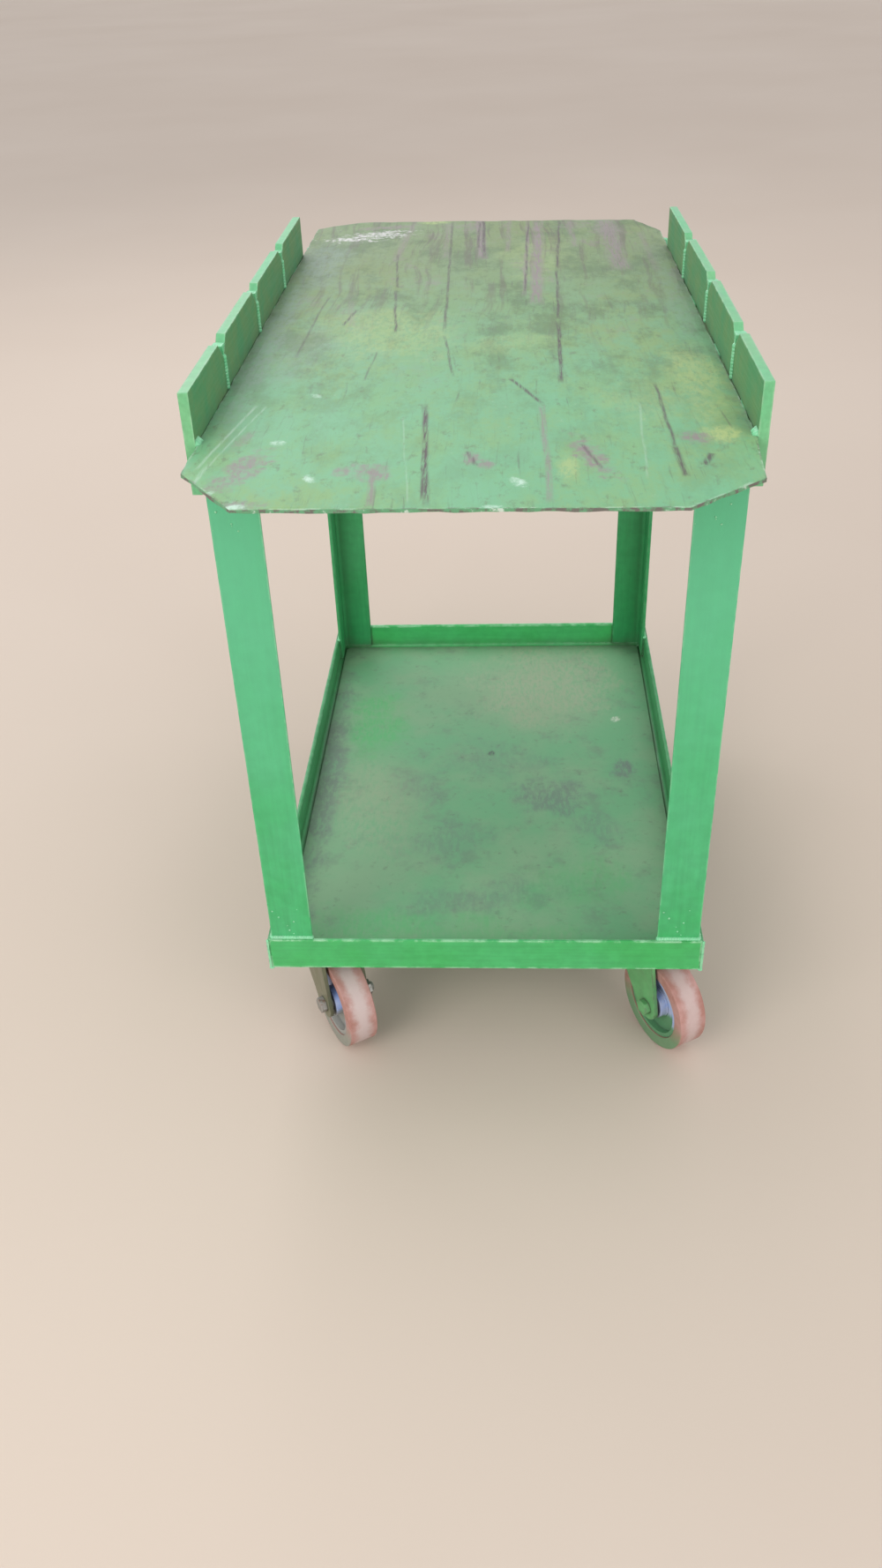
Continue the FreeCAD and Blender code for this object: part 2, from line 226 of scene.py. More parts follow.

# Painted shade where two pieces meet and shut the light out, with the dust and oil that stay there.
shade_and_grime, given, out = shader_group(
    "corner shade and grime",
    [("Reach", "Float", 0.03), ("Amount", "Float", 0.8)],
    [("Mask", "Float")],
)
open_share = add(shade_and_grime, "AmbientOcclusion", {"Distance": given["Reach"]}, samples=8).outputs["AO"]
place = add(shade_and_grime, "TexCoord").outputs["Object"]
patchy = noise(shade_and_grime, place, 22.0, 6.0)
hidden = remap(shade_and_grime, open_share, 0.85, 0.3)
shaded_and_dirty = calculate(shade_and_grime, "MULTIPLY", hidden, remap(shade_and_grime, patchy, 0.25, 0.6, 0.35, 1.0))
shade_and_grime.links.new(calculate(shade_and_grime, "MULTIPLY", shaded_and_dirty, given["Amount"]), out["Mask"])


def painted(name, fresh, faded, stroke, corner_colour, corner_amount=0.7, fading=0.6, top_sheen=0.0,
            shade_and_grime_colour=(0.07, 0.085, 0.05, 1), shade_and_grime_amount=0.7, corner_reach=0.003, gloss=0.0,
            shaded_side_faces=None):
    """Brushed enamel with rubbed corners, whose pale colours are also a painted highlight, and grime with
    painted shade where pieces meet. top_sheen blends it towards its faded colour higher up the cart, a
    painted sheen, gloss lowers its roughness, and shaded_side_faces paints shade, mottled with stains, on
    the faces that turn along X and dulls them."""
    material, tree, shader = new_material(name)
    coordinates = add(tree, "TexCoord").outputs
    coat = use_group(tree, enamel, {"Fresh": fresh, "Faded": faded, "Fading": fading, "Stroke": stroke})
    corners = use_group(tree, rubbed_and_highlit, {"Reach": corner_reach, "Amount": corner_amount})["Mask"]
    shade_and_dirt = use_group(tree, shade_and_grime, {"Amount": shade_and_grime_amount})["Mask"]
    colour = coat["Colour"]
    dull = coat["Roughness"]
    # Painted sheen: higher up the cart the colour turns towards the faded one.
    if top_sheen:
        height = add(tree, "SeparateXYZ", {0: coordinates["Object"]}).outputs[2]
        colour = blend_colours(tree, remap(tree, height, 0.2, 0.8, 0.0, top_sheen), colour, faded)
    # Painted shade: the faces that turn along X take darker colours, mottled with stains, and are duller.
    if shaded_side_faces:
        sideways = add(tree, "SeparateXYZ", {0: coordinates["Normal"]}).outputs[0]
        facing = calculate(tree, "ABSOLUTE", sideways)
        stains = noise(tree, coordinates["Object"], 28.0, 7.0, 0.65)
        darkened = blend_colours(tree, remap(tree, stains, 0.35, 0.65), shaded_side_faces[0], shaded_side_faces[1])
        side = remap(tree, facing, 0.55, 0.9)
        colour = blend_colours(tree, side, colour, darkened)
        dull = calculate(tree, "ADD", dull, calculate(tree, "MULTIPLY", side, 0.15))
    colour = blend_colours(tree, shade_and_dirt, colour, shade_and_grime_colour)
    colour = blend_colours(tree, corners, colour, corner_colour)
    tree.links.new(colour, shader.inputs["Base Color"])
    dull = calculate(tree, "ADD", dull, calculate(tree, "MULTIPLY", shade_and_dirt, 0.35))
    dull = calculate(tree, "SUBTRACT", dull, gloss)
    tree.links.new(dull, shader.inputs["Roughness"])
    bump = add(tree, "Bump", {"Strength": 0.4, "Distance": 0.0006, "Height": coat["Height"]})
    tree.links.new(bump.outputs[0], shader.inputs["Normal"])
    return material


def round_corners(node, radius, segments=2):
    """Round a CAD node's sharp corners, as rolling and paint do."""
    weld = node.modifiers.new("weld", "WELD")
    weld.merge_threshold = 0.00001
    bevel = node.modifiers.new("rounded corners", "BEVEL")
    bevel.width = radius
    bevel.segments = segments
    bevel.limit_method = "ANGLE"
    bevel.angle_limit = math.radians(50)


def finish_node(name, material, radius=0.0, segments=2):
    """Give a CAD node its material and its rounded corners."""
    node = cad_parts[name]
    node.data.materials.clear()
    node.data.materials.append(material)
    if radius:
        round_corners(node, radius, segments)


# A pale green for rubbed corners that is also a painted highlight along the edges.
pale_corner = (0.30, 0.58, 0.36, 1)
# The front legs' enamel turns lighter towards their heads, a painted sheen.
leg_enamel = painted(
    "leg enamel", (0.042, 0.39, 0.12, 1), (0.115, 0.475, 0.265, 1), (260, 260, 9), pale_corner,
    corner_amount=0.6, fading=0.35, top_sheen=0.75,
)
# The rear legs take a darker copy of the leg enamel, as painted shade.
shaded_rear_leg_enamel = painted(
    "shaded rear leg enamel", (0.03, 0.29, 0.09, 1), (0.055, 0.34, 0.13, 1), (260, 260, 9), pale_corner,
    corner_amount=0.4,
)
for side in ("left", "right"):
    finish_node(f"front_{side}_leg", leg_enamel, 0.0008)
    finish_node(f"rear_{side}_leg", shaded_rear_leg_enamel, 0.0008)


# ---- Cross rails -----------------------------------------------------------------------------------
# Two more lengths of the same angle, welded from leg to leg under the deck's ends to keep the legs
# square. They are out of the weather under the deck; their enamel is a darker copy of the legs', as
# painted shade, and full of dust.
shaded_cross_enamel = painted(
    "shaded cross rail enamel", (0.03, 0.30, 0.09, 1), (0.06, 0.36, 0.15, 1), (9, 260, 260), pale_corner,
    corner_amount=0.4,
)
for end in ("front", "rear"):
    finish_node(f"top_{end}_rail", shaded_cross_enamel, 0.0008)


# ---- Tray rails ------------------------------------------------------------------------------------
# Four lengths of a smaller angle, mitred at the corners and welded into a frame that holds the shelf.
# The upright flanges stand outside the legs. The top corners of the front and rear ones are rubbed pale
# and carry a painted highlight, and the side ones take a darker copy of the same enamel, as painted
# shade.
end_rail_enamel = painted(
    "end rail enamel", (0.045, 0.40, 0.10, 1), (0.07, 0.44, 0.16, 1), (9, 260, 260), (0.42, 0.72, 0.48, 1),
    corner_amount=0.95, corner_reach=0.005,
)
shaded_side_rail_enamel = painted(
    "shaded side rail enamel", (0.035, 0.28, 0.085, 1), (0.065, 0.33, 0.13, 1), (260, 9, 260), pale_corner,
    corner_amount=0.6, shade_and_grime_amount=0.9,
)
for name in ("front", "rear"):
    finish_node(f"tray_{name}_rail", end_rail_enamel, 0.0012, 3)
for name in ("left", "right"):
    finish_node(f"tray_{name}_rail", shaded_side_rail_enamel, 0.0012, 3)


# ---- Shelf plate -----------------------------------------------------------------------------------
# One sheet of steel that lies on the tray's flat flanges. Its green paint has gone grey and olive with
# dust, rubbing and oil, and fresh green shows in a few places. The other side has only the plain paint.
# A mark is an oval worn or dirty patch round a centre, with a ragged outline and gaps inside.
mark, given, out = shader_group(
    "mark on steel",
    [("Place", "Vector", (0, 0, 0)), ("Swing", "Float", 0.0), ("Breakup", "Float", 1.0),
     ("Centre", "Vector", (0, 0, 0)), ("Half Size", "Vector", (0.1, 0.1, 1)), ("Turn", "Float", 0.0),
     ("Strength", "Float", 1.0)],
    [("Mask", "Float")],
)
level = add(mark, "VectorMath", {0: given["Place"], 1: given["Centre"]}, operation="SUBTRACT").outputs[0]
feed = {"Vector": level, "Angle": given["Turn"]}
spun = add(mark, "VectorRotate", feed, rotation_type="Z_AXIS").outputs[0]
scaled = add(mark, "VectorMath", {0: spun, 1: given["Half Size"]}, operation="DIVIDE").outputs[0]
flat = stretched(mark, scaled, (1, 1, 0))
reach = add(mark, "VectorMath", {0: flat}, operation="LENGTH").outputs["Value"]
edge = calculate(mark, "ADD", reach, given["Swing"])
broken = calculate(mark, "MULTIPLY", remap(mark, edge, 1.15, 0.3), given["Breakup"])
mark.links.new(calculate(mark, "MULTIPLY", broken, given["Strength"]), out["Mask"])


def add_marks(tree, colour, mark_colour, places, ragged=0.3, grain=30.0):
    """Lay marks of one colour over a colour. Each is its centre x and y and its half sizes, in metres,
    its turn in degrees, which leans the far end to the right, and its strength."""
    here = add(tree, "TexCoord").outputs["Object"]
    wander = calculate(tree, "SUBTRACT", noise(tree, here, grain, 7.0, 0.7), 0.5)
    swing = calculate(tree, "MULTIPLY", wander, ragged * 6)
    gaps = noise(tree, stretched(tree, here, (170, 60, 1)), 1.0, 6.0, 0.75)
    breakup = remap(tree, gaps, 0.36, 0.58, 0.25, 1.0)
    covered = 0.0
    for x, y, half_x, half_y, turn, strength in places:
        feed = {
            "Place": here, "Swing": swing, "Breakup": breakup,
            "Centre": (x, y, 0), "Half Size": (half_x, half_y, 1), "Turn": math.radians(turn),
            "Strength": strength,
        }
        covered = calculate(tree, "MAXIMUM", covered, use_group(tree, mark, feed)["Mask"])
    return blend_colours(tree, covered, colour, mark_colour)


shelf_paint, tree, shader = new_material("shelf paint")
place = add(tree, "TexCoord").outputs["Object"]
clouds = noise(tree, place, 7.0, 7.0, 0.65)
flecks = noise(tree, place, 85.0, 6.0, 0.75)
mottles = noise(tree, place, 22.0, 8.0, 0.7)
colour = blend_colours(tree, remap(tree, clouds, 0.35, 0.65), (0.135, 0.37, 0.18, 1), (0.21, 0.37, 0.21, 1))
colour = blend_colours(tree, remap(tree, mottles, 0.5, 0.68, 0.0, 0.4), colour, (0.15, 0.20, 0.15, 1))
colour = blend_colours(tree, remap(tree, flecks, 0.55, 0.72, 0.0, 0.5), colour, (0.12, 0.15, 0.11, 1))
colour = add_marks(tree, colour, (0.36, 0.36, 0.25, 1), [
    (0.09, 0.28, 0.14, 0.16, 30, 0.6), (0.06, 0.17, 0.05, 0.05, 0, 0.5),
    (-0.16, -0.06, 0.08, 0.16, -15, 0.35),
], 0.35, 14.0)
colour = add_marks(tree, colour, (0.07, 0.42, 0.13, 1), [
    (-0.18, 0.15, 0.06, 0.11, -10, 0.65), (0.12, -0.24, 0.10, 0.06, -20, 0.35),
    (-0.12, -0.33, 0.15, 0.05, -5, 0.5), (0.02, -0.35, 0.24, 0.035, 0, 0.35),
], 0.4, 20.0)
colour = add_marks(tree, colour, (0.14, 0.15, 0.155, 1), [
    (0.09, -0.05, 0.06, 0.055, 0, 0.6), (0.20, 0.025, 0.022, 0.028, 0, 0.75),
    (-0.24, 0.0, 0.03, 0.34, 0, 0.6), (-0.06, -0.15, 0.08, 0.05, -30, 0.35),
    (0.0, -0.27, 0.12, 0.035, -10, 0.35), (0.0, 0.05, 0.10, 0.05, 10, 0.25),
    (0.15, -0.12, 0.06, 0.04, 30, 0.35), (-0.1, -0.02, 0.05, 0.05, 0, 0.3),
], 0.45, 26.0)
colour = add_marks(tree, colour, (0.06, 0.055, 0.06, 1), [(0.004, 0.067, 0.006, 0.008, 0, 1.0)], 0.2, 120.0)
colour = add_marks(tree, colour, (0.70, 0.70, 0.60, 1), [(0.198, 0.162, 0.008, 0.009, 20, 1.0)], 0.3, 150.0)
facing_up = add(tree, "SeparateXYZ", {0: add(tree, "TexCoord").outputs["Normal"]}).outputs[2]
colour = blend_colours(tree, remap(tree, facing_up, -0.3, -0.6), colour, (0.04, 0.27, 0.09, 1))
# Painted shade, with some grime, where the shelf meets the rails and legs.
shade_and_dirt = use_group(tree, shade_and_grime, {"Reach": 0.06, "Amount": 0.5})["Mask"]
colour = blend_colours(tree, shade_and_dirt, colour, (0.09, 0.11, 0.08, 1))
tree.links.new(colour, shader.inputs["Base Color"])
tree.links.new(remap(tree, clouds, 0.3, 0.7, 0.5, 0.68), shader.inputs["Roughness"])
bump = add(tree, "Bump", {"Strength": 0.25, "Distance": 0.0005, "Height": flecks})
tree.links.new(bump.outputs[0], shader.inputs["Normal"])
finish_node("shelf_plate", shelf_paint, 0.0006)


# ---- Deck ------------------------------------------------------------------------------------------
# One plate of hot-rolled steel, cut out by hand with a torch: its corners are off at different slants
# and its edges wander. It is welded on the legs. Years of sliding steel over it have scratched the
# green paint lengthwise, rubbed it down to a purple-grey, and chipped it pale along the front. A bright
# scrape is left near the rear left corner. Painted shade, with some grime, darkens it where the bars
# and welds stand on it. The underside has the cross rails' darker enamel, which is painted shade.
def copy_of(name, new_name):
    """A merged copy of a CAD node, as the start of a piece that stands for it."""
    bpy.ops.object.select_all(action="DESELECT")
    piece = bpy.data.objects.new(new_name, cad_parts[name].data.copy())
    bpy.context.scene.collection.objects.link(piece)
    bpy.context.view_layer.objects.active = piece
    piece.select_set(True)
    bpy.ops.object.mode_set(mode="EDIT")
    bpy.ops.mesh.select_all(action="SELECT")
    bpy.ops.mesh.remove_doubles(threshold=0.00002)
    bpy.ops.mesh.dissolve_limited(angle_limit=math.radians(1))
    bpy.ops.object.mode_set(mode="OBJECT")
    bpy.ops.mesh.customdata_custom_splitnormals_clear()
    piece.data.materials.clear()
    return piece


def cut_across(axis, low, high, spacing):
    """Cut the mesh in edit mode by planes across an axis, evenly between two ends."""
    direction = [0, 0, 0]
    direction[axis] = 1
    cuts = int((high - low) / spacing)
    for n in range(1, cuts):
        at = [0, 0, 0]
        at[axis] = low + (high - low) * n / cuts
        bpy.ops.mesh.select_all(action="SELECT")
        bpy.ops.mesh.bisect(plane_co=at, plane_no=direction)


def displaced(piece, name, scale, strength, direction="NORMAL", group="", mid_level=0.5):
    """Push a piece's surface in and out by soft clouds of a size."""
    texture = bpy.data.textures.new(name, "CLOUDS")
    texture.noise_scale = scale
    push = piece.modifiers.new(name, "DISPLACE")
    push.texture = texture
    push.strength = strength
    push.direction = direction
    push.mid_level = mid_level
    push.vertex_group = group
    bpy.ops.object.modifier_apply(modifier=push.name)


deck = copy_of("top_plate", "deck")
deck_low, deck_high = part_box("top_plate")
bpy.ops.object.mode_set(mode="EDIT")
cut_across(0, deck_low.x, deck_high.x, 0.012)
cut_across(1, deck_low.y, deck_high.y, 0.012)
bpy.ops.mesh.select_all(action="SELECT")
bpy.ops.mesh.remove_doubles(threshold=0.0004)
bpy.ops.object.mode_set(mode="OBJECT")
cut_edge = deck.vertex_groups.new(name="cut edge")
for face in deck.data.polygons:
    if abs(face.normal.z) < 0.5:
        cut_edge.add(list(face.vertices), 1.0, "REPLACE")
displaced(deck, "torch wander", 0.02, 0.003, group=cut_edge.name, mid_level=0.75)
displaced(deck, "plate warp", 0.35, 0.0016, direction="Z")
lip = deck.modifiers.new("melted lip", "BEVEL")
lip.width = 0.0010
lip.segments = 2
lip.angle_limit = math.radians(50)
bpy.ops.object.modifier_apply(modifier=lip.name)

deck_paint, tree, shader = new_material("deck paint")
place = add(tree, "TexCoord").outputs["Object"]
along = stretched(tree, place, (1, 0.5, 1))
zones = noise(tree, along, 4.5, 4.0)
mottles = noise(tree, along, 26.0, 10.0, 0.78)
stains = noise(tree, along, 15.0, 10.0, 0.78)
flecks = noise(tree, along, 95.0, 6.0, 0.75)
swerve = add(tree, "TexNoise", {"Vector": place, "Scale": 3.0, "Detail": 2.0}).outputs["Color"]
sideways = stretched(tree, swerve, (0.05, 0, 0))
bent = add(tree, "VectorMath", {0: place, 1: sideways}, operation="ADD").outputs[0]
drag = noise(tree, stretched(tree, bent, (75, 4, 1)), 1.0, 6.0, 0.7)
fine_drag = noise(tree, stretched(tree, bent, (280, 10, 1)), 1.0, 4.0, 0.65)
lengthwise = add(tree, "SeparateXYZ", {0: place}).outputs[1]
toward_rear = remap(tree, lengthwise, -0.35, 0.42)
green = (0.145, 0.375, 0.18, 1)
yellow_green = (0.215, 0.37, 0.14, 1)
purple_grey = (0.24, 0.19, 0.19, 1)
dark_steel = (0.07, 0.05, 0.05, 1)
white = (0.62, 0.60, 0.58, 1)
colour = blend_colours(tree, remap(tree, mottles, 0.40, 0.62), green, yellow_green)
colour = blend_colours(tree, remap(tree, zones, 0.40, 0.62, 0.0, 0.7), colour, (0.14, 0.41, 0.21, 1))
colour = blend_colours(tree, calculate(tree, "MULTIPLY", toward_rear, 0.8), colour, (0.18, 0.215, 0.085, 1))
darkened = calculate(
    tree, "MULTIPLY", remap(tree, stains, 0.46, 0.62), remap(tree, lengthwise, -0.45, 0.0, 0.3, 1.0)
)
colour = blend_colours(tree, calculate(tree, "MULTIPLY", darkened, 0.65), colour, (0.080, 0.145, 0.055, 1))
dust = calculate(
    tree, "MULTIPLY", remap(tree, stains, 0.44, 0.34), calculate(tree, "ADD", toward_rear, 0.15)
)
colour = blend_colours(tree, calculate(tree, "MULTIPLY", dust, 0.5), colour, purple_grey)
streaks = calculate(
    tree, "MULTIPLY", remap(tree, drag, 0.50, 0.66), calculate(tree, "ADD", toward_rear, 0.08)
)
colour = blend_colours(tree, calculate(tree, "MULTIPLY", streaks, 0.62), colour, (0.11, 0.09, 0.07, 1))
hairs = calculate(
    tree, "MULTIPLY", remap(tree, fine_drag, 0.58, 0.72), remap(tree, stains, 0.35, 0.6, 0.15, 1.0)
)
colour = blend_colours(tree, calculate(tree, "MULTIPLY", hairs, 0.5), colour, (0.08, 0.075, 0.06, 1))
colour = blend_colours(tree, remap(tree, flecks, 0.54, 0.70, 0.0, 0.6), colour, (0.11, 0.15, 0.08, 1))
colour = blend_colours(tree, remap(tree, flecks, 0.38, 0.26, 0.0, 0.40), colour, (0.30, 0.46, 0.29, 1))
colour = add_marks(tree, colour, (0.36, 0.46, 0.17, 1), [
    (0.225, -0.22, 0.035, 0.10, -4, 0.7), (0.228, -0.395, 0.020, 0.028, 0, 1.0),
    (-0.10, -0.04, 0.09, 0.12, -20, 0.45), (-0.08, 0.54, 0.03, 0.015, 0, 0.8),
    (0.085, -0.47, 0.012, 0.035, 0, 0.7), (0.07, 0.30, 0.05, 0.14, 0, 0.3),
    (0.17, -0.30, 0.06, 0.07, 0, 0.3), (0.03, -0.10, 0.05, 0.05, 0, 0.3),
    (0.22, -0.32, 0.02, 0.06, 0, 0.5),
], 0.4, 22.0)
colour = add_marks(tree, colour, (0.22, 0.30, 0.24, 1), [
    (-0.240, -0.05, 0.022, 0.34, 0, 0.7), (-0.22, 0.30, 0.04, 0.16, 0, 0.6),
    (0.238, 0.1, 0.022, 0.26, 0, 0.4), (-0.20, -0.13, 0.04, 0.14, 8, 0.35),
], 0.3, 18.0)
colour = add_marks(tree, colour, purple_grey, [
    (-0.202, -0.460, 0.020, 0.050, 14, 0.95), (-0.215, -0.50, 0.016, 0.022, 20, 0.7),
    (-0.088, -0.472, 0.024, 0.020, 0, 0.95), (-0.114, -0.471, 0.012, 0.012, 0, 0.8),
    (-0.190, -0.541, 0.024, 0.010, 0, 0.8), (0.105, -0.443, 0.014, 0.056, -16, 1.0),
    (0.0, -0.444, 0.013, 0.016, 0, 1.0), (0.012, -0.462, 0.009, 0.010, 0, 0.8),
    (0.203, -0.402, 0.018, 0.018, 0, 0.9), (-0.158, 0.512, 0.050, 0.014, -10, 0.8),
    (0.13, 0.50, 0.03, 0.03, 0, 0.5), (-0.02, 0.50, 0.02, 0.04, 0, 0.6),
    (-0.215, -0.39, 0.008, 0.03, 10, 0.5), (0.178, 0.46, 0.030, 0.06, 0, 0.6),
], 0.5, 60.0)

# A scratch runs from one point to another; it wanders a little and is broken up along its length. The
# deck's shader is about as long as the renderer takes: with more scratches the whole plate turns black.
scratch, given, out = shader_group(
    "scratch",
    [("Place", "Vector", (0, 0, 0)), ("Wander", "Float", 0.0), ("Breakup", "Float", 1.0),
     ("Middle", "Vector", (0, 0, 0)), ("Turn", "Float", 0.0), ("Half Width", "Float", 0.002),
     ("Half Length", "Float", 0.1), ("Strength", "Float", 1.0)],
    [("Mask", "Float")],
)
level = add(scratch, "VectorMath", {0: given["Place"], 1: given["Middle"]}, operation="SUBTRACT").outputs[0]
feed = {"Vector": level, "Angle": given["Turn"]}
spun = add(scratch, "VectorRotate", feed, rotation_type="Z_AXIS").outputs[0]
parts = add(scratch, "SeparateXYZ", {0: spun}).outputs
aside = calculate(scratch, "ABSOLUTE", calculate(scratch, "ADD", parts[0], given["Wander"]))
side = calculate(scratch, "DIVIDE", aside, given["Half Width"])
ahead = calculate(scratch, "DIVIDE", calculate(scratch, "ABSOLUTE", parts[1]), given["Half Length"])
reach = calculate(scratch, "MAXIMUM", side, calculate(scratch, "POWER", ahead, 6.0))
line = calculate(scratch, "MULTIPLY", remap(scratch, reach, 1.0, 0.1), given["Breakup"])
scratch.links.new(calculate(scratch, "MULTIPLY", line, given["Strength"]), out["Mask"])


def add_scratches(tree, colour, scratch_colour, lines):
    """Lay scratches of one colour over a colour. Each is x and y of one end and of the other, and its
    width, in metres, and its strength."""
    here = add(tree, "TexCoord").outputs["Object"]
    swing = calculate(tree, "SUBTRACT", noise(tree, here, 11.0, 3.0), 0.5)
    wander = calculate(tree, "MULTIPLY", swing, 0.006)
    gaps = noise(tree, stretched(tree, here, (420, 28, 1)), 1.0, 5.0, 0.7)
    breakup = remap(tree, gaps, 0.36, 0.56, 0.2, 1.0)
    covered = 0.0
    for x0, y0, x1, y1, width, strength in lines:
        feed = {
            "Place": here, "Wander": wander, "Breakup": breakup,
            "Middle": ((x0 + x1) / 2, (y0 + y1) / 2, 0), "Turn": math.atan2(x1 - x0, y1 - y0),
            "Half Width": width / 2, "Half Length": math.hypot(x1 - x0, y1 - y0) / 2, "Strength": strength,
        }
        covered = calculate(tree, "MAXIMUM", covered, use_group(tree, scratch, feed)["Mask"])
    return blend_colours(tree, covered, colour, scratch_colour)


colour = add_scratches(tree, colour, purple_grey, [
    (0.180, 0.21, 0.177, 0.54, 0.040, 0.9), (0.066, 0.05, 0.077, 0.55, 0.024, 1.0),
    (0.052, 0.09, 0.062, 0.55, 0.009, 0.8), (-0.003, 0.29, -0.012, 0.56, 0.020, 1.0),
    (0.065, -0.30, 0.067, -0.55, 0.009, 0.7), (-0.086, -0.46, -0.083, -0.55, 0.010, 0.8),
    (-0.123, 0.30, -0.112, 0.54, 0.018, 0.6), (0.125, 0.35, 0.122, 0.54, 0.014, 0.6),
    (-0.150, -0.02, -0.163, 0.10, 0.014, 0.4), (0.226, 0.20, 0.222, 0.45, 0.016, 0.4),
    (-0.055, 0.30, -0.058, 0.54, 0.016, 0.5), (0.030, 0.33, 0.034, 0.55, 0.012, 0.5),
])
colour = add_marks(tree, colour, white, [
    (-0.195, 0.436, 0.036, 0.016, 0, 0.95), (-0.160, 0.462, 0.045, 0.020, 0, 0.95),
    (-0.14, 0.485, 0.03, 0.008, 0, 0.7),
], 0.9, 110.0)
colour = add_marks(tree, colour, (0.45, 0.64, 0.50, 1), [
    (-0.181, -0.398, 0.008, 0.008, 0, 1.0), (-0.140, -0.487, 0.010, 0.006, 60, 1.0),
    (0.040, -0.501, 0.012, 0.007, 60, 1.0), (-0.162, -0.265, 0.009, 0.005, 60, 0.7),
    (-0.196, -0.545, 0.012, 0.006, 0, 1.0), (-0.225, -0.52, 0.006, 0.014, 20, 0.7),
    (0.195, -0.552, 0.010, 0.005, 0, 1.0), (0.02, -0.552, 0.010, 0.004, 0, 0.8),
    (-0.13, -0.553, 0.012, 0.003, 0, 0.8),
], 0.35, 160.0)
colour = add_scratches(tree, colour, (0.40, 0.56, 0.42, 1), [
    (-0.246, -0.465, -0.218, -0.287, 0.005, 0.6), (-0.236, -0.455, -0.208, -0.29, 0.004, 0.45),
    (-0.243, -0.50, -0.235, -0.44, 0.008, 0.5), (0.150, -0.50, 0.160, -0.30, 0.004, 0.3),
    (-0.05, -0.55, -0.07, -0.33, 0.003, 0.3),
])
colour = add_scratches(tree, colour, dark_steel, [
    (-0.050, -0.292, -0.036, -0.552, 0.0085, 1.0), (-0.047, -0.35, -0.040, -0.54, 0.005, 0.9),
    (0.086, -0.243, 0.090, -0.008, 0.008, 1.0), (0.090, -0.008, 0.096, 0.229, 0.0055, 0.9),
    (0.096, 0.229, 0.109, 0.538, 0.006, 0.9), (0.033, -0.220, 0.066, -0.302, 0.007, 0.9),
    (-0.005, -0.425, 0.004, -0.462, 0.007, 0.8), (0.180, -0.243, 0.181, -0.43, 0.006, 0.8),
    (0.181, -0.42, 0.183, -0.495, 0.009, 0.9), (-0.202, -0.138, -0.194, 0.126, 0.005, 0.6),
    (-0.163, -0.015, -0.151, 0.057, 0.006, 0.8), (0.098, -0.41, 0.114, -0.475, 0.006, 0.6),
    (-0.113, -0.116, -0.117, -0.223, 0.004, 0.5), (-0.112, 0.149, -0.097, -0.052, 0.006, 0.8),
    (-0.123, 0.342, -0.109, 0.149, 0.006, 0.8), (-0.053, 0.559, -0.041, -0.057, 0.006, 0.75),
    (-0.041, -0.057, -0.025, -0.214, 0.005, 0.7), (0.062, 0.544, 0.052, 0.097, 0.005, 0.8),
    (-0.006, 0.554, -0.001, 0.298, 0.008, 0.9), (-0.012, 0.54, -0.010, 0.36, 0.006, 0.8),
    (0.201, -0.469, 0.212, -0.44, 0.010, 0.9),
])
corners = use_group(tree, rubbed_and_highlit, {"Reach": 0.004, "Breakup": 110.0, "Amount": 0.9})["Mask"]
chips = noise(tree, place, 45.0, 4.0)
chipped = remap(tree, chips, 0.46, 0.56)
lip_colour = blend_colours(tree, chipped, (0.42, 0.56, 0.42, 1), (0.11, 0.10, 0.085, 1))
colour = blend_colours(tree, corners, colour, lip_colour)
# Painted shade, with some grime, at the foot of the bars and welds.
shade_and_dirt = use_group(tree, shade_and_grime, {"Reach": 0.03, "Amount": 0.55})["Mask"]
colour = blend_colours(tree, shade_and_dirt, colour, (0.11, 0.14, 0.11, 1))
tree.links.new(colour, shader.inputs["Base Color"])
tree.links.new(remap(tree, mottles, 0.3, 0.7, 0.46, 0.60), shader.inputs["Roughness"])
rough = calculate(tree, "ADD", flecks, calculate(tree, "MULTIPLY", drag, 0.5))
bump = add(tree, "Bump", {"Strength": 0.16, "Distance": 0.0005, "Height": rough})
tree.links.new(bump.outputs[0], shader.inputs["Normal"])

edge_paint, tree, shader = new_material("torch-cut edge paint")
place = add(tree, "TexCoord").outputs["Object"]
drag_lines = noise(tree, stretched(tree, place, (420, 420, 30)), 1.0, 3.0)
chips = noise(tree, place, 60.0, 6.0, 0.7)
colour = blend_colours(tree, remap(tree, chips, 0.46, 0.56), (0.11, 0.30, 0.15, 1), (0.13, 0.12, 0.10, 1))
colour = blend_colours(tree, remap(tree, chips, 0.43, 0.35), colour, (0.50, 0.60, 0.50, 1))
tree.links.new(colour, shader.inputs["Base Color"])
shader.inputs["Roughness"].default_value = 0.6
bump = add(tree, "Bump", {"Strength": 0.5, "Distance": 0.0006, "Height": drag_lines})
tree.links.new(bump.outputs[0], shader.inputs["Normal"])
deck.data.materials.append(deck_paint)
deck.data.materials.append(edge_paint)
deck.data.materials.append(shaded_cross_enamel)
for face in deck.data.polygons:
    face.material_index = 1 if abs(face.normal.z) < 0.4 else (0 if face.normal.z > 0 else 2)
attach(deck, "frame")
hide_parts("top_plate")


